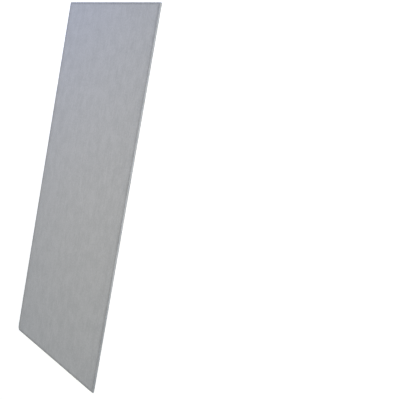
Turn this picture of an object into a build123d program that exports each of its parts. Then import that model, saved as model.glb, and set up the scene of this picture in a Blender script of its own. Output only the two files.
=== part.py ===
from build123d import *
import os

# A sheet of gypsum board with tapered long edges, lying flat with its face side up.
# Millimetres. The origin is at the bottom centre, +X runs along the sheet, +Y across it
# and +Z up through the face.

# Sheet
sheet_length = 2400.0  # from one cut end to the other
sheet_width = 1200.0  # over the paper on both long edges
sheet_thickness = 12.5  # over both papers, between the tapers

# Papers
face_paper_thickness = 0.35
back_paper_thickness = 0.35
fold_width = 30.0  # from the long edge to the free edge of the face paper folded onto the back
back_paper_margin = 15.0  # from the long edge to the back paper, which laps over the fold

# Long edges
taper_width = 50.0  # strip along each long edge where the face slopes down
taper_depth = 1.4  # how much thinner the sheet is at the long edge
taper_bend_radius = 600.0  # easy bend of the core where the slope meets the level face
face_arris_radius = 1.2  # of the core under the paper, between the face and the long edge
back_arris_radius = 0.8  # of the core under the paper, between the long edge and the back

# Cut ends
bruise_radius = 20.0  # the one corner that was knocked round in handling

# Heights and half widths of the core, which both papers take their places from
core_bottom = back_paper_thickness
core_top = sheet_thickness - face_paper_thickness
rebate_top = core_bottom + face_paper_thickness
core_half_width = sheet_width / 2 - face_paper_thickness
fold_half_width = sheet_width / 2 - fold_width
level_half_width = sheet_width / 2 - taper_width

# The sheet's section is drawn at its -X end and drawn out along the sheet.
end_plane = Plane.YZ.offset(-sheet_length / 2)


def wrapped_edge(side):
    """Corners of the core that the face paper covers, from its free edge on the back to the level face."""
    return [
        (side * fold_half_width, rebate_top),
        (side * core_half_width, rebate_top),
        (side * core_half_width, core_top - taper_depth),
        (side * level_half_width, core_top),
    ]


# The face paper's inner line: under one fold, round the long edge, over the face and round the other edge.
wrap_points = wrapped_edge(1) + wrapped_edge(-1)[::-1]
edge_radii = [back_arris_radius, face_arris_radius, taper_bend_radius]
wrap_radii = edge_radii + edge_radii[::-1]

# Plan of the sheet: square-cut, but for the bruised corner at the -X end of the +Y edge.
with BuildSketch() as plan:
    Rectangle(sheet_length, sheet_width)
    bruised_corner = plan.vertices().group_by(Axis.X)[0].sort_by(Axis.Y)[-1]
    fillet(bruised_corner, radius=bruise_radius)

# Core: cast between the papers, let in at the back by one paper's thickness under each fold.
with BuildPart() as gypsum_core:
    with BuildSketch(end_plane):
        with BuildLine():
            covered = FilletPolyline(*wrap_points, radius=wrap_radii)
            Polyline(
                covered @ 1,
                (-fold_half_width, core_bottom),
                (fold_half_width, core_bottom),
                covered @ 0,
            )
        make_face()
    extrude(amount=sheet_length)
    extrude(plan.sketch, amount=sheet_thickness, mode=Mode.INTERSECT)
gypsum_core.part.label = "gypsum_core"

# Face paper: one even thickness all the way round, with no seam at the long edges.
with BuildPart() as face_paper:
    with BuildSketch(end_plane):
        with BuildLine():
            FilletPolyline(*wrap_points, radius=wrap_radii)
            offset(amount=face_paper_thickness, side=Side.RIGHT)
        make_face()
    extrude(amount=sheet_length)
    extrude(plan.sketch, amount=sheet_thickness, mode=Mode.INTERSECT)
face_paper.part.label = "face_paper"

# Back paper: flat, and glued over the folded margins of the face paper.
with BuildPart() as back_paper:
    with BuildSketch(end_plane):
        Rectangle(
            sheet_width - 2 * back_paper_margin,
            back_paper_thickness,
            align=(Align.CENTER, Align.MIN),
        )
    extrude(amount=sheet_length)
    extrude(plan.sketch, amount=sheet_thickness, mode=Mode.INTERSECT)
back_paper.part.label = "back_paper"

os.makedirs("parts", exist_ok=True)
export_step(gypsum_core.part, "parts/gypsum_core.step")
export_step(face_paper.part, "parts/face_paper.step")
export_step(back_paper.part, "parts/back_paper.step")

print("core", gypsum_core.part.bounding_box().size)
print("face paper", face_paper.part.bounding_box().size)
print("back paper", back_paper.part.bounding_box().size)
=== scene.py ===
# %% [markdown]
# # A sheet of gypsum board
# The real thing is a slab of foamed gypsum that sets between two webs of paper while it runs down a
# long belt. The face paper is folded round both long edges, the back paper is laid over the folds,
# and a knife cuts the running slab into sheets, so the ends show bare gypsum. The face is rolled a
# little thinner along both long edges, to leave room for tape and filler.
#
# The exact solids are loaded as a fixed frame, in metres: +X runs along the sheet, +Y across it and
# +Z up out of the face. The box that they fill is kept, and the sizes below are read from it.

import math
import random

import bmesh
import bpy
from mathutils import Matrix, Vector, kdtree, noise


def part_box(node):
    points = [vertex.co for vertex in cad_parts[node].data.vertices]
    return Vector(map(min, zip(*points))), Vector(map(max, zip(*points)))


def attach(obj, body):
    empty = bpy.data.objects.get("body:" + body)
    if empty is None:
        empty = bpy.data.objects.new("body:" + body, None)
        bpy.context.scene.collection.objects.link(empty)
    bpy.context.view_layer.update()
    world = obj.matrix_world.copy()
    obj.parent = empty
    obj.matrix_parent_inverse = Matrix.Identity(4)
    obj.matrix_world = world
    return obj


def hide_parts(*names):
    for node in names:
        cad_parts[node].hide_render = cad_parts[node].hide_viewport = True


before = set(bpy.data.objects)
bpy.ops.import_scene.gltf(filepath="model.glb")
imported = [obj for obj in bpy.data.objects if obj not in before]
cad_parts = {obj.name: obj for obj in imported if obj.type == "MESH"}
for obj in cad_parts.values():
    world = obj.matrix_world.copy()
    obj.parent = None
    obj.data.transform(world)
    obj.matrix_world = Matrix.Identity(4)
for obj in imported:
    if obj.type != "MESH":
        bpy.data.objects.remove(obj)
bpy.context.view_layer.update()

# %% [markdown]
# ## Sizes
# Everything that the solids can tell is measured from them: the overall size, the thickness of the
# papers, how far the core stops short of the edges. What can't be read from a box, such as the taper
# and the radius of each arris, is written here once, as it is made.

# %% Sizes of the sheet
MM = 0.001

face_low, face_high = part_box("face_paper")
core_low, core_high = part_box("gypsum_core")
back_low, back_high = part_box("back_paper")

length = face_high.x - face_low.x
width = face_high.y - face_low.y
thickness = face_high.z
face_paper_thickness = face_high.z - core_high.z
back_paper_thickness = back_high.z

taper_width = 50 * MM
taper_depth = 1.4 * MM
taper_bend = 8.4 * MM  # from the start of the slope to where the bend into the level face ends
fold_width = 30 * MM
core_face_radius = 1.2 * MM  # of the core's arris under the face
core_back_radius = 0.8 * MM
bruise_radius = 20 * MM  # of the corner that was knocked round

print("sheet", [round(side / MM, 2) for side in (length, width, thickness)], "mm")
print("papers", round(face_paper_thickness / MM, 2), "and", round(back_paper_thickness / MM, 2), "mm")

# %% [markdown]
# ## Rows along the sheet
# Both papers are a line drawn out along X. A row of points every 2 mm near the cut ends is enough for
# a frayed edge and a bruised corner. Between the ends the paper is flat, so the rows can be far apart
# there, and the mesh stays light.

# %% Where the rows of points lie
row_pitch = 2 * MM
fine_reach = 44 * MM
row_growth = 1.4
longest_row = 120 * MM


def row_places():
    """Places along X, from one cut end to the other, close together near both ends."""
    from_end = [0.0]
    step = row_pitch
    while from_end[-1] < length / 2:
        if from_end[-1] > fine_reach:
            step = min(step * row_growth, longest_row)
        from_end.append(min(from_end[-1] + step, length / 2))
    near_half = [offset - length / 2 for offset in from_end]
    return near_half + [-place for place in near_half[-2::-1]]


rows = row_places()
print("rows along the sheet", len(rows))

# %% [markdown]
# ## Two moves that shape a paper
# `draw_out` puts the few points of a section at one end and extrudes the line from row to row, as
# the paper runs off its roll. `divide_across` then cuts the wide strips lengthways, so that the ends
# have enough points to fray. Extruding edges keeps clean quads all the way along.


# %% Draw a section out along the sheet
hair = 0.01 * MM  # places nearer than this are the same place


def parts_of(items, kind):
    """The vertices, edges or faces among what an operator made."""
    return [item for item in items if isinstance(item, kind)]


def draw_out(section, places):
    """A surface of quads: the section's points (y, z), joined in order, drawn out along X."""
    surface = bmesh.new()
    points = [surface.verts.new((places[0], y, z)) for y, z in section]
    line = [surface.edges.new(pair) for pair in zip(points, points[1:])]
    for here, there in zip(places, places[1:]):
        made = bmesh.ops.extrude_edge_only(surface, edges=line)["geom"]
        fresh = set(parts_of(made, bmesh.types.BMVert))
        line = [edge for edge in parts_of(made, bmesh.types.BMEdge) if fresh.issuperset(edge.verts)]
        bmesh.ops.translate(surface, verts=list(fresh), vec=(there - here, 0, 0))
    return surface


def span(edge):
    """How far an edge runs along each axis."""
    start, end = (vert.co for vert in edge.verts)
    return Vector(abs(along) for along in end - start)


def divide_across(surface, pitch):
    """Cuts every strip lengthways until no quad is wider than the pitch."""
    strips = {}
    for edge in surface.edges:
        if span(edge).x < hair:
            ends = sorted((round(vert.co.y, 6), round(vert.co.z, 6)) for vert in edge.verts)
            strips.setdefault(tuple(ends), []).append(edge)
    for edges in strips.values():
        cuts = math.ceil(edges[0].calc_length() / pitch) - 1
        if cuts > 0:
            bmesh.ops.subdivide_edges(surface, edges=edges, cuts=cuts, use_grid_fill=True)


trial = draw_out([(0, 0), (10 * MM, 0)], rows[:4])
divide_across(trial, 5 * MM)
print("a trial strip over four rows, divided once, has", len(trial.faces), "quads")
trial.free()

# %% [markdown]
# ## Damage that all three pieces share
# One corner was dropped on its tip: the gypsum is crushed, the paper is bent round it and the plan is
# rounded. Paper and core have to move together, or one would poke through the other, so the damage is
# a function of place that every piece is passed through.
#
# The corner is rounded by squeezing a square patch into a quarter disc: each point keeps its greater
# distance from the patch's inner corner, which becomes its distance along the radius.

# %% Damage at the corner
bruise_centre = Vector((bruise_radius - length / 2, width / 2 - bruise_radius))
bruise_tip = Vector((-length / 2, width / 2))
crush_reach = 46 * MM
crush_depth = 1.9 * MM
crease_pitch = 8 * MM
crease_depth = 0.45 * MM
crumples_per_metre = 90
crease_wander = 2.2  # radians by which crumples shift a crease


def lifted(swing):
    """Brings a wave or a noise that swings about 0 to between 0 and 1."""
    return 0.5 + 0.5 * swing


def smooth_step(share):
    """Eases a share in and out, and keeps it between 0 and 1."""
    share = min(max(share, 0.0), 1.0)
    return share * share * (3 - 2 * share)


def squeezed_round(beyond):
    """Moves a point that lies beyond a rounded corner's centre from the square onto the round."""
    return beyond * (max(beyond) / beyond.length)


def knocked(point):
    """Where a point of the undamaged sheet ends up."""
    from_tip = (point.xy - bruise_tip).length
    crush = smooth_step(1 - from_tip / crush_reach)
    wander = noise.noise(point * crumples_per_metre) * crease_wander
    crease = lifted(math.sin(from_tip / crease_pitch * math.tau + wander))
    lowered = crush * (crush_depth * crush + crease_depth * crease)
    beyond = Vector((bruise_centre.x - point.x, point.y - bruise_centre.y))
    moved = point.copy()
    if min(beyond) > 0:
        beyond = squeezed_round(beyond)
        moved.x = bruise_centre.x - beyond.x
        moved.y = bruise_centre.y + beyond.y
    moved.z -= lowered * point.z / thickness
    return moved


print("corner rounded to", bruise_radius / MM, "mm and crushed by", crush_depth / MM, "mm")

# %% [markdown]
# ## Ragged cut ends
# The knife leaves the ends nearly straight. Here and there gypsum broke away under the paper, and the
# paper's own cut is fuzzy. At the bruised tip it is torn back, because it was bent round there.
#
# `nick` is shared by the papers and the core. The rows behind a frayed edge close up to it, so that no
# quad turns over.
#
# A fractal noise adds finer and finer layers. Its three numbers say how fast the layers fade, how much
# finer each is than the last, and how many there are. A seed is a third coordinate for the noise, so
# that the two ends, and two kinds of damage, never look alike.

# %% Nicks, fuzz and the torn tip
nick_spacing = 26 * MM
nick_threshold = 0.50  # of the noise, where a nick starts
nick_slope = 0.4  # more of the noise, until the nick is at its full depth
nick_depth = 1.4 * MM
nick_seed = 7.3
ripple_density = 4  # of the finer noise on a nick
ripple_share = 0.2
paper_share_of_nick = 0.7
fuzz_per_metre = 420
fuzz_depth = 0.30 * MM
fuzz_seed = 11
fuzz_layers = (0.9, 2.1, 3)
tear_per_metre = 160
tear_reach = 30 * MM
tear_depth = 2.6 * MM
tear_level = 0.45  # share of the depth where the noise is 0
tear_swing = 0.75
tear_layers = (0.8, 2.0, 4)


def nick(end, y, z):
    """How deep the end is broken away at a place on its edge, in metres. end is -1 or 1."""
    place = Vector((y / nick_spacing, z / nick_spacing, nick_seed * end))
    broken = abs(noise.noise(place)) + ripple_share * noise.noise(place * ripple_density)
    return nick_depth * smooth_step((broken - nick_threshold) / nick_slope)


def fuzz(end, y, z):
    """How far the paper's cut stays behind where its fibres came loose."""
    place = Vector((y * fuzz_per_metre, z * fuzz_per_metre, fuzz_seed * end))
    return fuzz_depth * max(lifted(noise.fractal(place, *fuzz_layers)), 0.0)


def tear(end, y, z):
    """How far the paper is torn back: only near the bruised tip, and unevenly."""
    if end > 0 or y < width / 2 - tear_reach:
        return 0.0
    swing = noise.fractal(Vector((y, z, 0)) * tear_per_metre, *tear_layers)
    ragged = max(tear_level + tear_swing * swing, 0.0)
    return tear_depth * smooth_step((y - width / 2 + tear_reach) / tear_reach) * ragged


def fray(surface):
    """Draws the cut ends of a paper inwards."""
    for vert in surface.verts:
        x, y, z = vert.co
        end = math.copysign(1, x)
        behind = length / 2 - abs(x)
        if behind < fine_reach:
            back = fuzz(end, y, z) + tear(end, y, z) + paper_share_of_nick * nick(end, y, z)
            vert.co.x -= end * back * (1 - behind / fine_reach) ** 3


print("nicks up to", nick_depth / MM, "mm, tear up to", tear_depth / MM, "mm")

# %% [markdown]
# ## From mesh to piece
# A finished piece sits at the origin with its place in its mesh, rides on the sheet's one body and
# takes the place of its plain solid, which is hidden. Bends are shaded smooth, and an edge that turns
# by more than a crisp angle keeps its line: the cut of a paper, or the rim of the broken core.


# %% Turn a mesh into a piece of the sheet
def finish_piece(surface, name, node, crisp_degrees):
    """Makes the piece, which takes the place of the CAD node and hides it."""
    bmesh.ops.recalc_face_normals(surface, faces=surface.faces[:])
    for face in surface.faces:
        face.smooth = True
    for edge in surface.edges:
        edge.smooth = edge.is_manifold and edge.calc_face_angle() < math.radians(crisp_degrees)
    open_edges = sum(not edge.is_manifold for edge in surface.edges)
    triangles = sum(len(face.verts) - 2 for face in surface.faces)
    volume = surface.calc_volume(signed=True)
    mesh = bpy.data.meshes.new(name)
    surface.to_mesh(mesh)
    surface.free()
    piece = bpy.data.objects.new(name, mesh)
    bpy.context.scene.collection.objects.link(piece)
    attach(piece, "root")
    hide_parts(node)
    print(name, triangles, "triangles,", open_edges, "open edges,", round(volume * 1e6, 1), "cm3")
    return piece


# %% [markdown]
# ## Face paper
# One web of paper covers the face, turns down both long edges and is folded onto the back. Its
# section has eight corners. The arrises are bevelled to their radius. A bevel is no good on the
# taper's bend, which turns by less than 2 degrees, so its points are eased onto a curve instead. Last
# the paper is given its thickness inwards, so that the outside stays at the sheet's real size.

# %% The face paper's section
edge_top = thickness - taper_depth
fold_level = back_paper_thickness  # underside of the fold, which the back paper laps over


def wrap_section():
    """Outer corners of the wrapped paper, from its free edge under +Y round to that under -Y."""
    half = [
        (width / 2 - fold_width, fold_level),
        (width / 2, fold_level),
        (width / 2, edge_top),
        (width / 2 - taper_width, thickness),
    ]
    return half + [(-y, z) for y, z in reversed(half)]


def face_height(y, level):
    """Height of the face at y, for a surface that is at this level between the tapers."""
    slope = taper_depth / taper_width
    down = abs(y) - (width / 2 - taper_width)
    if down < -taper_bend:
        return level
    if down < taper_bend:
        return level - slope * (down + taper_bend) ** 2 / (4 * taper_bend)
    return level - slope * down


half_section = [(round(y / MM, 2), round(z / MM, 2)) for y, z in wrap_section()[:4]]
print("section corners", half_section, "mm, and mirrored")

# %% Wrap the face paper
column_pitch = 2.5 * MM
arris_segments = 7
crisp_paper = 35  # degrees, past which an edge of a paper keeps its line


def round_along(surface, corner, radius):
    """Rounds the edges that run along the sheet through a corner of the section, on both sides."""
    edges = [
        edge
        for edge in surface.edges
        if all(math.dist((abs(vert.co.y), vert.co.z), corner) < hair for vert in edge.verts)
    ]
    bmesh.ops.bevel(
        surface, geom=edges, offset=radius, offset_type="OFFSET", segments=arris_segments,
        profile=0.5, affect="EDGES", material=-1,
    )


def wrap_face_paper():
    surface = draw_out(wrap_section(), rows)
    back_corner, face_corner, bend_corner = wrap_section()[1:4]
    round_along(surface, back_corner, core_back_radius + face_paper_thickness)
    round_along(surface, face_corner, core_face_radius + face_paper_thickness)
    divide_across(surface, column_pitch)
    for vert in surface.verts:
        if vert.co.z > edge_top and abs(vert.co.y) < bend_corner[0] + taper_bend:
            vert.co.z = face_height(vert.co.y, thickness)
    bmesh.ops.recalc_face_normals(surface, faces=surface.faces[:])
    bmesh.ops.solidify(surface, geom=surface.faces[:], thickness=face_paper_thickness)
    fray(surface)
    for vert in surface.verts:
        vert.co = knocked(vert.co)
    return surface


face_wrap = finish_piece(wrap_face_paper(), "folded_face_paper", "face_paper", crisp_paper)

# %% [markdown]
# ## Back paper
# The back paper is a flat web, glued over the folded margins 15 mm in from each long edge. It is
# drawn out from a line of two points in the same way. A flat sheet has no inside that the tools could
# tell by themselves, so its faces are turned down here before it gets its thickness upwards.


# %% Lay the back paper
def lay_back_paper():
    surface = draw_out([(back_high.y, back_low.z), (back_low.y, back_low.z)], rows)
    divide_across(surface, column_pitch)
    surface.normal_update()
    upward = [face for face in surface.faces if face.normal.z > 0]
    bmesh.ops.reverse_faces(surface, faces=upward)
    bmesh.ops.solidify(surface, geom=surface.faces[:], thickness=back_paper_thickness)
    fray(surface)
    for vert in surface.verts:
        vert.co = knocked(vert.co)
    return surface


back_web = finish_piece(lay_back_paper(), "lapped_back_paper", "back_paper", crisp_paper)

# %% [markdown]
# ## Gypsum core
# The core is cast foam: at a cut end it shows a rough face full of round air voids, cut open. Such a
# face has to be real relief to catch light from the side. A cube is cut into rows near the ends and
# then into cells about 0.9 mm wide and 0.5 mm high, which only the ends need, so the long hidden
# faces stay plain strips.

# %% Core block
cell_width = 0.9 * MM
cells_high = 24
rows_at_bruise = [3 * MM, 7 * MM, 13 * MM, 20 * MM, 32 * MM]  # from the bruised end
rows_at_far_end = [4 * MM]
core_size = core_high - core_low


def cast_core():
    """The block in the core's box, divided where its ends need it."""
    block = bmesh.new()
    bmesh.ops.create_cube(block, size=1)
    bmesh.ops.scale(block, verts=block.verts[:], vec=core_size)
    bmesh.ops.translate(block, verts=block.verts[:], vec=(core_high + core_low) / 2)
    cuts = [core_low.x + offset for offset in rows_at_bruise]
    cuts += [core_high.x - offset for offset in rows_at_far_end]
    for place in cuts:
        everything = block.verts[:] + block.edges[:] + block.faces[:]
        bmesh.ops.bisect_plane(block, geom=everything, plane_co=(place, 0, 0), plane_no=(1, 0, 0))
    for axis, count in ((1, round(core_size.y / cell_width)), (2, cells_high)):
        edges = [edge for edge in block.edges if span(edge)[axis] > core_size[axis] - hair]
        bmesh.ops.subdivide_edges(block, edges=edges, cuts=count - 1, use_grid_fill=True)
    return block


core_block = cast_core()
print("core block", len(core_block.faces), "faces")

# %% [markdown]
# The block is now pressed into its section. Each point keeps its share of the height between the
# underside, which is let in over the folded paper, and the tapered top. The four long arrises are
# squeezed round in the same way as the bruised corner.

# %% Press the core into its section
fold_top = fold_level + face_paper_thickness


def core_bottom(y):
    return fold_top if abs(y) > width / 2 - fold_width else core_low.z


def press_core(block):
    for vert in block.verts:
        bottom = core_bottom(vert.co.y)
        half_height = (face_height(vert.co.y, core_high.z) - bottom) / 2
        above_middle = half_height * (2 * (vert.co.z - core_low.z) / core_size.z - 1)
        radius = core_face_radius if above_middle > 0 else core_back_radius
        arris = Vector((core_size.y / 2 - radius, half_height - radius))
        beyond = Vector((abs(vert.co.y), abs(above_middle))) - arris
        if min(beyond) > 0:
            out, up = arris + squeezed_round(beyond)
            vert.co.y = math.copysign(out, vert.co.y)
            above_middle = math.copysign(up, above_middle)
        vert.co.z = bottom + half_height + above_middle


press_core(core_block)
edge_height = face_height(width / 2, core_high.z) - core_bottom(width / 2)
print("core is", round(edge_height / MM, 2), "mm high at its long edges")

# %% [markdown]
# ## Cut ends of the core
# Three things make a cut end: the knife drags the face into shallow waves, the set crystals break
# with a fine grain, and the air voids are opened as round bowls. The bowls lie at random places,
# fewer of them next to the papers, where the slurry is run denser so that they stick. The places
# are seeded, so they are the same each time. A tree of the end's points finds those that lie inside
# each bowl. Everything is carved inwards, so the sheet keeps its length.

# %% Open the air voids
void_count = 1700
smallest_void = 0.6 * MM
largest_void = 2.0 * MM
void_seed = 41
void_depths = (0.5, 1.05)  # least and most, as a share of the radius


def open_voids(places, end):
    """Depth of the air voids at each (y, z) place of one end."""
    tree = kdtree.KDTree(len(places))
    for number, (y, z) in enumerate(places):
        tree.insert((0, y, z), number)
    tree.balance()
    chance = random.Random(void_seed + end)
    depths = [0.0] * len(places)
    for _ in range(void_count):
        # a random share cubed is mostly small, and so are most voids
        radius = smallest_void + (largest_void - smallest_void) * chance.random() ** 3
        middle_depth = radius * chance.uniform(*void_depths)
        y = chance.uniform(core_low.y, core_high.y)
        z = chance.triangular(core_low.z, core_high.z)
        for _, number, distance in tree.find_range((0, y, z), radius):
            bowl = middle_depth * (1 - (distance / radius) ** 2)
            depths[number] = max(depths[number], bowl)
    return depths


print(void_count, "voids for each end,", smallest_void / MM, "to", largest_void / MM, "mm in radius")

# %% Carve the cut ends
wave_length = 55 * MM
wave_stretch = 3  # how many times as long a wave is up the end as across it
wave_depth = 0.35 * MM
wave_seed = 3.1
grain_size = 2.2 * MM
grain_depth = 0.36 * MM
grain_seed = 5.7
grain_layers = (0.8, 2.0, 3)
crisp_gypsum = 60  # degrees


def carve_end(block, end):
    """Roughens the end at -X or +X. Returns its deepest place."""
    limit = core_high.x * end
    verts = [vert for vert in block.verts if abs(vert.co.x - limit) < hair]
    voids = open_voids([(vert.co.y, vert.co.z) for vert in verts], end)
    deepest = 0.0
    for vert, void in zip(verts, voids):
        y, z = vert.co.y, vert.co.z
        wave_place = Vector((y / wave_length, z / wave_length / wave_stretch, wave_seed * end))
        wave = lifted(noise.noise(wave_place))
        grain_place = Vector((y / grain_size, z / grain_size, grain_seed * end))
        grain = max(lifted(noise.fractal(grain_place, *grain_layers)), 0.0)
        depth = wave_depth * wave + grain_depth * grain + void + nick(end, y, z)
        vert.co.x -= end * depth
        deepest = max(deepest, depth)
    return deepest


for end in (-1, 1):
    deepest = carve_end(core_block, end)
    print("end", end, "carved up to", round(deepest / MM, 2), "mm deep")
for vert in core_block.verts:
    vert.co = knocked(vert.co)
core_piece = finish_piece(core_block, "cast_gypsum_core", "gypsum_core", crisp_gypsum)

# %% [markdown]
# ## Materials: two helpers
# Colours are written as the sRGB hex values that a picture program shows, and one function turns
# them to the linear light that shaders work in.
#
# One small function adds a node. It sets what the node is asked to do, and gives each socket a value
# or a link. A node may be handed over whole, and then its first output that is in use is linked.


# %% Colour and node helpers
def colour(hex_value):
    """Linear RGBA of an sRGB hex colour."""
    def linear(level):
        share = level / 255
        return share / 12.92 if share <= 0.04045 else ((share + 0.055) / 1.055) ** 2.4
    levels = bytes.fromhex(hex_value.lstrip("#"))
    return (*[linear(level) for level in levels], 1.0)


def add_node(owner, kind, sockets=None, **settings):
    """Adds a node to a material or the world. Sockets go by name, or by number where names repeat."""
    tree = owner.node_tree
    node = tree.nodes.new(kind)
    for name, value in settings.items():
        setattr(node, name, value)
    in_use = [socket for socket in node.inputs if socket.enabled]
    for key, value in (sockets or {}).items():
        by_name = [socket for socket in in_use if socket.name == key]
        socket = by_name[0] if by_name else in_use[key]
        if isinstance(value, bpy.types.Node):
            value = next(output for output in value.outputs if output.enabled)
        if isinstance(value, bpy.types.NodeSocket):
            tree.links.new(value, socket)
        else:
            socket.default_value = value
    return node


def new_material(name):
    material = bpy.data.materials.new(name)
    material.use_nodes = True
    material.node_tree.nodes.clear()
    return material


print("helpers ready, paper grey in linear light", [round(level, 3) for level in colour("#A8AAAD")])

# %% [markdown]
# ## Grey liner paper
# Liner paper is made from recycled fibre on a running wire and smoothed between rollers: matt, a cool
# grey, and never quite even. The fibre settles in faint clouds as wide as a hand. They are made of
# tufts a centimetre across, which papermakers call the formation, and of flocks a few millimetres
# wide. The wire leaves a trace of streaks along the web, and close up there are short darker and
# paler fibres, which lie along the web but slant a little either way. Each is a noise at its real
# size, read from Object coordinates, so that it lies on the paper and never slides.
#
# The fibres are drawn about half a millimetre wide, several times their real width, or they would
# not show.

# %% The patterns of a liner paper
# name: width in mm, how many times as long along the web, slant in degrees, detail of the noise
web_patterns = {
    "cloud": (80, 1.0, 0, 2.0),
    "streak": (9, 12.0, 0, 2.0),
    "formation": (8, 1.15, 0, 5.0),
    "flock": (2.4, 1.4, 0, 3.0),
    "fibre_left": (0.5, 8.0, 24, 1.5),
    "fibre_right": (0.5, 8.0, -17, 1.5),
}
pattern_roughness = 0.58  # strength of each finer layer of a noise, as a share of the last


def weave_patterns(material):
    """The patterns, as nodes by name, and the place that they read, in metres."""
    place = add_node(material, "ShaderNodeTexCoord").outputs["Object"]
    woven = {}
    for name, (size, stretch, slant, detail) in web_patterns.items():
        grain = Vector((size * stretch, size, size)) * MM
        turned = add_node(
            material, "ShaderNodeMapping",
            {"Vector": place, "Rotation": (0, 0, math.radians(slant)), "Scale": grain},
            vector_type="TEXTURE",
        )
        woven[name] = add_node(
            material, "ShaderNodeTexNoise",
            {
                "Vector": turned, "Scale": 1.0,
                "Detail": detail, "Roughness": pattern_roughness,
            },
        )
    return woven, place


print("web patterns", ", ".join(web_patterns))

# %% [markdown]
# The paper is darker near its rims: along the tapered margins, most in the last centimetre before
# each rim of the face, and on the long edges towards the near end. Low down on the long edges, next
# to the floor, the darkening is painted shade with some dirt. It is worked out from the distance to
# the rims, and broken up by the clouds of the paper, so that it has no hard edge.

# %% Darkening at the rims
# on the face: distance from the rim where it starts and where it is full, and its share of strength
margin_darkening = (55 * MM, 20 * MM, 1.0)
rim_darkening = (26 * MM, 12 * MM, 4.4)
end_rim_darkening = (18 * MM, 7 * MM, 5.5)
# on the long edges: the same, measured as a height above the back and as a distance from the foot
# low on the long edges, next to the floor: painted shade with some dirt
low_edge_shade_and_dirt = (5 * MM, 2 * MM, 4.5)
foot_darkening = (900 * MM, 150 * MM, 7.0)
face_within = 2 * MM  # below the top of the long edge, where the face's darkening fades out
edge_within = (1.2 * MM, 0.5 * MM)  # from the side, where the long edge's darkening starts and is full
formation_span = (0.35, 0.65)  # where most values of that noise lie
smear = (0.75, 1.25)  # how far the formation thins and thickens the darkening


def strongest_darkening(material, bands, strength):
    """The strongest of several bands of darkening, each of which grows as a distance falls."""
    strongest = 0.0
    for distance, (start, full, share) in bands:
        band = add_node(
            material, "ShaderNodeMapRange",
            {"Value": distance, "From Min": start, "From Max": full, "To Max": share * strength},
            interpolation_type="SMOOTHSTEP",
        )
        strongest = add_node(
            material, "ShaderNodeMath", {0: band, 1: strongest}, operation="MAXIMUM"
        )
    return strongest


def darkening_at_rims(material, place, formation, strength):
    """A share of darkening, from 0 in the middle of the face to a few times the strength at a rim."""
    apart = add_node(material, "ShaderNodeSeparateXYZ", {"Vector": place})
    along, across, height = (apart.outputs[axis] for axis in "XYZ")
    off_middle = add_node(material, "ShaderNodeMath", {0: across}, operation="ABSOLUTE")
    from_side = add_node(
        material, "ShaderNodeMath", {0: width / 2, 1: off_middle}, operation="SUBTRACT"
    )
    off_centre = add_node(material, "ShaderNodeMath", {0: along}, operation="ABSOLUTE")
    from_end = add_node(
        material, "ShaderNodeMath", {0: length / 2, 1: off_centre}, operation="SUBTRACT"
    )
    from_foot = add_node(material, "ShaderNodeMath", {0: along, 1: length / 2}, operation="ADD")
    face_bands = ((from_side, margin_darkening), (from_side, rim_darkening), (from_end, end_rim_darkening))
    on_face = strongest_darkening(material, face_bands, strength)
    # on the long edges: painted shade with some dirt low down, and darker towards the near end
    on_edge = strongest_darkening(material, ((height, low_edge_shade_and_dirt), (from_foot, foot_darkening)), strength)
    face_share = add_node(
        material, "ShaderNodeMapRange",
        {"Value": height, "From Min": edge_top - face_within, "From Max": edge_top},
    )
    edge_share = add_node(
        material, "ShaderNodeMapRange",
        {"Value": from_side, "From Min": edge_within[0], "From Max": edge_within[1]},
    )
    smeared = add_node(
        material, "ShaderNodeMapRange",
        {
            "Value": formation, "From Min": formation_span[0], "From Max": formation_span[1],
            "To Min": smear[0], "To Max": smear[1],
        },
    )
    on_edge = add_node(material, "ShaderNodeMath", {0: on_edge, 1: edge_share}, operation="MULTIPLY")
    rim_darkened = add_node(
        material, "ShaderNodeMath", {0: on_face, 1: face_share, 2: on_edge},
        operation="MULTIPLY_ADD",
    )
    return add_node(material, "ShaderNodeMath", {0: rim_darkened, 1: smeared}, operation="MULTIPLY")


print("darkest within", [band[1] / MM for band in (rim_darkening, end_rim_darkening)], "mm of sides and ends")

# %% [markdown]
# The finish is mixed in this order: clean paper, its clouds, the darkening near the rims on top,
# then single dark and pale fibres. The relief of the felt is far too fine to model, so it is bump, a
# tenth of a millimetre deep. Paper is rough and has an IOR of about 1.5, so it is nearly without
# gloss.


# %% Liner paper
tone_weights = {"cloud": 0.17, "streak": 0.18, "formation": 0.31, "flock": 0.34}
tone_span = (0.40, 0.60)  # of the mixed patterns, from the palest paper to the darkest
darkest_tone = 0.42  # as a share of the way to the darker colour
felt_depth = 0.1 * MM


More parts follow.
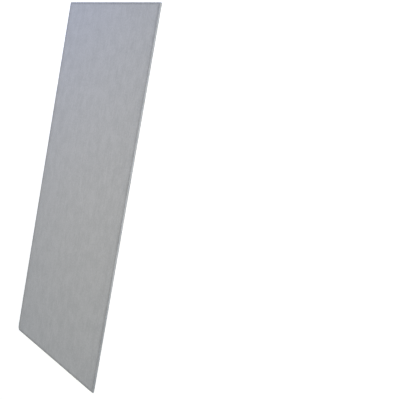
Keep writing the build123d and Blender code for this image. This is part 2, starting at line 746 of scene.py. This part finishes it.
def liner_paper(name, clean, darkened_colour, dark_fibre, pale_fibre, darkening_strength):
    """A calendered liner paper with its clean colour, its darker one and those of its stray fibres."""
    material = new_material(name)
    woven, place = weave_patterns(material)
    tone = 0.0
    for pattern, weight in tone_weights.items():
        tone = add_node(
            material, "ShaderNodeMath", {0: woven[pattern], 1: weight, 2: tone},
            operation="MULTIPLY_ADD",
        )
    uneven = add_node(
        material, "ShaderNodeMapRange",
        {
            "Value": tone, "From Min": tone_span[0], "From Max": tone_span[1],
            "To Max": darkest_tone,
        },
        interpolation_type="SMOOTHSTEP",
    )
    # darker near the rims of the paper; low on the long edges this is painted shade with some dirt
    rim_darkened = darkening_at_rims(material, place, woven["formation"], darkening_strength)
    darker = add_node(
        material, "ShaderNodeMath", {0: uneven, 1: rim_darkened}, operation="ADD", use_clamp=True
    )
    surface = add_node(
        material, "ShaderNodeMix", {"Factor": darker, "A": colour(clean), "B": colour(darkened_colour)},
        data_type="RGBA",
    )
    # pattern, colour of the fibres, where in the noise they start and are full, and how strong they are
    strays = (
        ("fibre_left", dark_fibre, 0.60, 0.70, 0.45),
        ("fibre_right", dark_fibre, 0.62, 0.72, 0.45),
        ("fibre_left", pale_fibre, 0.38, 0.28, 0.35),
        ("fibre_right", pale_fibre, 0.38, 0.28, 0.35),
    )
    for pattern, hex_value, start, full, share in strays:
        found = add_node(
            material, "ShaderNodeMapRange",
            {"Value": woven[pattern], "From Min": start, "From Max": full, "To Max": share},
            interpolation_type="SMOOTHSTEP",
        )
        surface = add_node(
            material, "ShaderNodeMix", {"Factor": found, "A": surface, "B": colour(hex_value)},
            data_type="RGBA",
        )
    felt = add_node(
        material, "ShaderNodeMath", {0: woven["fibre_left"], 1: woven["fibre_right"]},
        operation="MAXIMUM",
    )
    bump = add_node(
        material, "ShaderNodeBump", {"Height": felt, "Strength": 0.5, "Distance": felt_depth}
    )
    roughness = add_node(
        material, "ShaderNodeMapRange",
        {"Value": woven["formation"], "From Min": 0.3, "From Max": 0.7, "To Min": 0.82, "To Max": 0.92},
    )
    paper = add_node(
        material, "ShaderNodeBsdfPrincipled",
        {
            "Base Color": surface, "Roughness": roughness, "Normal": bump,
            "IOR": 1.5, "Specular IOR Level": 0.3,
        },
    )
    add_node(material, "ShaderNodeOutputMaterial", {"Surface": paper})
    return material


face_liner = liner_paper(
    "grey_liner_paper_calendered", clean="#B1B2B4", darkened_colour="#86888A",
    dark_fibre="#8C8C8B", pale_fibre="#C6C7C8", darkening_strength=0.10,
)
back_liner = liner_paper(
    "brown_grey_liner_paper", clean="#A5A19A", darkened_colour="#7D7A75",
    dark_fibre="#827B72", pale_fibre="#BDB8B0", darkening_strength=0.06,
)
face_wrap.data.materials.append(face_liner)
back_web.data.materials.append(back_liner)
print("papers finished, face", len(face_liner.node_tree.nodes), "nodes")

# %% [markdown]
# ## Set gypsum foam
# Gypsum sets from a slurry beaten up with foam. Cut open it is a soft grey-white, powdery and quite
# matt, pitted with air voids from a tenth of a millimetre up. The larger voids are carved in the mesh.
# The fine ones are the cells of a Voronoi pattern, each with a pit of its own size: a random number
# for each cell, cubed, gives many pinpricks and few large pits. The pattern is read at a place that
# wanders by up to half a pit, so that no pit is quite round. The pits are coloured darker, as painted
# shade in the fine voids.


# %% Gypsum
pore_spacing = 0.9 * MM
largest_pore = 0.40  # radius as a share of the spacing
pore_rim = (-0.15, 0.12)  # from inside a pit to the solid beside it, as shares of the spacing
crystal_grain = 0.9 * MM
powder_cloud = 18 * MM
powder_span = (0.75, 1.25)  # of grain and cloud added up, from the dusty tone to the pale one
grain_share = 0.6  # height of the grain beside a pit that is 1 deep
pore_relief = 0.25 * MM


def set_gypsum():
    material = new_material("set_gypsum_foam")
    place = add_node(material, "ShaderNodeTexCoord").outputs["Object"]
    cloud = add_node(
        material, "ShaderNodeTexNoise",
        {"Vector": place, "Scale": 1 / powder_cloud, "Detail": 3.0},
    )
    grain = add_node(
        material, "ShaderNodeTexNoise",
        {"Vector": place, "Scale": 1 / crystal_grain, "Detail": 4.0, "Roughness": 0.6},
    )
    wander = add_node(material, "ShaderNodeTexNoise", {"Vector": place, "Scale": 1 / pore_spacing})
    wandered = add_node(
        material, "ShaderNodeVectorMath",
        {0: wander.outputs["Color"], 1: (pore_spacing,) * 3, 2: place},
        operation="MULTIPLY_ADD",
    )
    cells = add_node(
        material, "ShaderNodeTexVoronoi", {"Vector": wandered, "Scale": 1 / pore_spacing}
    )
    chance = add_node(material, "ShaderNodeSeparateColor", {"Color": cells.outputs["Color"]})
    size = add_node(
        material, "ShaderNodeMath", {0: chance.outputs["Red"], 1: 3.0}, operation="POWER"
    )
    from_rim = add_node(
        material, "ShaderNodeMath", {0: size, 1: -largest_pore, 2: cells.outputs["Distance"]},
        operation="MULTIPLY_ADD",
    )
    solid = add_node(
        material, "ShaderNodeMapRange",
        {"Value": from_rim, "From Min": pore_rim[0], "From Max": pore_rim[1]},
        interpolation_type="SMOOTHSTEP",
    )
    shade = add_node(material, "ShaderNodeMath", {0: cloud, 1: grain}, operation="ADD")
    paleness = add_node(
        material, "ShaderNodeMapRange",
        {"Value": shade, "From Min": powder_span[0], "From Max": powder_span[1]},
    )
    powder = add_node(
        material, "ShaderNodeMix", {"Factor": paleness, "A": colour("#DADAD9"), "B": colour("#EDEDEB")},
        data_type="RGBA",
    )
    # pits coloured darker: painted shade inside the fine voids
    pits_in_painted_shade = add_node(
        material, "ShaderNodeMix", {"Factor": solid, "A": colour("#CBCCCB"), "B": powder},
        data_type="RGBA",
    )
    relief = add_node(
        material, "ShaderNodeMath", {0: grain, 1: grain_share, 2: solid}, operation="MULTIPLY_ADD"
    )
    bump = add_node(
        material, "ShaderNodeBump", {"Height": relief, "Strength": 0.7, "Distance": pore_relief}
    )
    gypsum = add_node(
        material, "ShaderNodeBsdfPrincipled",
        {
            "Base Color": pits_in_painted_shade, "Roughness": 0.95, "Normal": bump,
            "IOR": 1.52, "Specular IOR Level": 0.2,
        },
    )
    add_node(material, "ShaderNodeOutputMaterial", {"Surface": gypsum})
    return material


core_piece.data.materials.append(set_gypsum())
print("gypsum finished, pores", pore_spacing / MM, "mm apart")

# %% [markdown]
# ## Floor
# A wide matt floor carries the sheet's soft shadow. Rays from the camera also see a little glow on
# it, which lifts the lit floor to plain white without adding any light to the sheet. The lamps reach
# less of the floor further out, so the glow grows with the distance from the sheet. So that the back
# of the sheet can be looked at too, the floor is clear from below, and clear to rays that start within
# a millimetre of it, which lets light from under the sheet reach the back.

# %% Floor
floor_half = 40.0
floor_drop = 0.05 * MM
glow_near = 0.29
glow_far = 0.52
glow_spread = 3.5  # metres from the middle of the sheet to where the glow is full
clear_within = 1 * MM


def lay_floor():
    plane = bmesh.new()
    bmesh.ops.create_grid(plane, x_segments=1, y_segments=1, size=floor_half)
    bmesh.ops.translate(plane, verts=plane.verts[:], vec=(0, 0, -floor_drop))
    mesh = bpy.data.meshes.new("studio_floor")
    plane.to_mesh(mesh)
    plane.free()
    floor = bpy.data.objects.new("studio_floor", mesh)
    bpy.context.scene.collection.objects.link(floor)
    return floor


def seen_directly(owner, brightness):
    """The brightness for rays from the camera, a gloss or a glass, and 0 for all others."""
    path = add_node(owner, "ShaderNodeLightPath")
    seen = path.outputs["Is Camera Ray"]
    for kind in ("Is Glossy Ray", "Is Transmission Ray"):
        seen = add_node(
            owner, "ShaderNodeMath", {0: seen, 1: path.outputs[kind]}, operation="MAXIMUM"
        )
    return add_node(owner, "ShaderNodeMath", {0: seen, 1: brightness}, operation="MULTIPLY")


def floor_paint():
    material = new_material("matt_white_floor_paint")
    paint = add_node(material, "ShaderNodeBsdfDiffuse", {"Color": colour("#F2F2F2")})
    place = add_node(material, "ShaderNodeTexCoord").outputs["Object"]
    distance = add_node(material, "ShaderNodeVectorMath", {0: place}, operation="LENGTH")
    brightness = add_node(
        material, "ShaderNodeMapRange",
        {
            "Value": distance.outputs["Value"], "From Max": glow_spread,
            "To Min": glow_near, "To Max": glow_far,
        },
        interpolation_type="SMOOTHSTEP",
    )
    glow = add_node(material, "ShaderNodeEmission", {"Strength": seen_directly(material, brightness)})
    lit = add_node(material, "ShaderNodeAddShader", {0: paint, 1: glow})
    clear = add_node(material, "ShaderNodeBsdfTransparent")
    from_below = add_node(material, "ShaderNodeNewGeometry").outputs["Backfacing"]
    ray_length = add_node(material, "ShaderNodeLightPath").outputs["Ray Length"]
    near = add_node(
        material, "ShaderNodeMath", {0: ray_length, 1: clear_within}, operation="LESS_THAN"
    )
    open_to = add_node(material, "ShaderNodeMath", {0: from_below, 1: near}, operation="MAXIMUM")
    floor_side = add_node(material, "ShaderNodeMixShader", {0: open_to, 1: lit, 2: clear})
    add_node(material, "ShaderNodeOutputMaterial", {"Surface": floor_side})
    return material


floor = lay_floor()
floor.data.materials.append(floor_paint())
print("floor", 2 * floor_half, "m square")

# %% [markdown]
# ## Light
# A pale dome and one wide soft sun from the camera's side give three fifths of the light. The sun is
# low, so the upright long edge catches more of it than the face and shows as a light line. A warm
# panel over the middle gives most of the rest. It falls off towards the near end, which is about a
# sixth darker than the middle. A cool panel beyond the far end tints that end a little, as skylight
# does. In the middle the light is neutral, and a colour renders a shade darker than it is written.
# A weak, low fill reaches the bare gypsum of the near end, which the sun leaves in shade.
#
# Under the floor the dome is brighter. That light only reaches the back of the sheet.

# %% Light
dome_above = 0.290
dome_below = 0.85
# name: azimuth from +X, elevation and width in degrees, share of the light on the level face, where 1
# renders a colour as written, and colour
suns = {
    "soft_sun": (-80, 26, 30, 0.28, "#FFFFFF"),
    "low_fill": (-160, 10, 16, 0.042, "#E2F2FF"),
}
sun_distance = 8.0  # a sun shines from infinity, so this only places the lamp
# name: place and target in metres, watts, colour, and side in metres
panels = {
    "warm_panel": ((0.24, -0.28, 2.73), (0.24, -0.28, 0), 27.5, "#FFEBBC", 1.0),
    "cool_panel": ((2.35, 0.52, 2.3), (1.6, 1.2, 0), 30.8, "#9FB4FF", 0.8),
}


def world_dome():
    world = bpy.data.worlds.new("pale_dome")
    bpy.context.scene.world = world
    world.use_nodes = True
    world.node_tree.nodes.clear()
    direction = add_node(world, "ShaderNodeTexCoord").outputs["Generated"]
    apart = add_node(world, "ShaderNodeSeparateXYZ", {"Vector": direction})
    below = add_node(
        world, "ShaderNodeMath", {0: apart.outputs["Z"], 1: 0.0}, operation="LESS_THAN"
    )
    strength = add_node(
        world, "ShaderNodeMapRange", {"Value": below, "To Min": dome_above, "To Max": dome_below}
    )
    sky = add_node(
        world, "ShaderNodeMix", {"Factor": below, "A": colour("#E2F2FF"), "B": colour("#F3F9FF")},
        data_type="RGBA",
    )
    light = add_node(world, "ShaderNodeBackground", {"Color": sky, "Strength": strength})
    white = add_node(world, "ShaderNodeBackground", {"Color": colour("#FFFFFF"), "Strength": 1.0})
    seen = seen_directly(world, 1.0)
    shown = add_node(world, "ShaderNodeMixShader", {0: seen, 1: light, 2: white})
    add_node(world, "ShaderNodeOutputWorld", {"Surface": shown})


world_dome()
print("dome", dome_above, "above the floor and", dome_below, "below it")


# %% Suns and panels
def add_lamp(name, kind, place, target, energy, tint, **settings):
    """Adds a lamp at a place, which looks at a target."""
    data = bpy.data.lights.new(name, kind)
    data.energy = energy
    data.color = colour(tint)[:3]
    for setting, value in settings.items():
        setattr(data, setting, value)
    lamp = bpy.data.objects.new(name, data)
    bpy.context.scene.collection.objects.link(lamp)
    lamp.location = place
    lamp.rotation_euler = (Vector(target) - Vector(place)).to_track_quat("-Z", "Y").to_euler()


for name, (*angles, share, tint) in suns.items():
    azimuth, elevation, softness = (math.radians(angle) for angle in angles)
    sun_place = Vector((math.cos(azimuth), math.sin(azimuth), math.tan(elevation))) * sun_distance
    energy = math.pi * share / math.sin(elevation)
    add_lamp(name, "SUN", sun_place, (0, 0, 0), energy, tint, angle=softness)
    print(name, "energy", round(energy, 2))
for name, (panel_place, target, watts, tint, side) in panels.items():
    add_lamp(name, "AREA", panel_place, target, watts, tint, size=side)
    print(name, watts, "W")

# %% [markdown]
# ## Camera
# The photograph looks at the sheet from the side of its right long edge, so here the camera stands
# beyond the -Y edge and looks down on the sheet. The photograph's upright is the sheet's length, so the
# camera is turned until +X points up in the picture.

# %% Camera
camera_place = Vector((0.65, -4.655, 2.46))
camera_forward = Vector((-0.11545, 0.79945, -0.58948)).normalized()
picture_up = Vector((0.9766, 0.1996, 0.0795))
focal_length_px = 793.4  # for a picture 400 pixels wide
picture_width_px = 400
sensor_width_mm = 36.0

camera_data = bpy.data.cameras.new("camera")
camera_data.sensor_width = sensor_width_mm
camera_data.lens = focal_length_px / picture_width_px * sensor_width_mm
camera = bpy.data.objects.new("camera", camera_data)
bpy.context.scene.collection.objects.link(camera)
picture_right = camera_forward.cross(picture_up).normalized()
picture_up = picture_right.cross(camera_forward)
turn = Matrix((picture_right, picture_up, -camera_forward)).transposed()
camera.matrix_world = Matrix.Translation(camera_place) @ turn.to_4x4()
bpy.context.scene.camera = camera
bpy.context.scene.view_settings.view_transform = "Standard"
looks_down = math.degrees(math.asin(-camera_forward.z))
print("lens", round(camera_data.lens, 2), "mm, looks down by", round(looks_down, 1), "degrees")
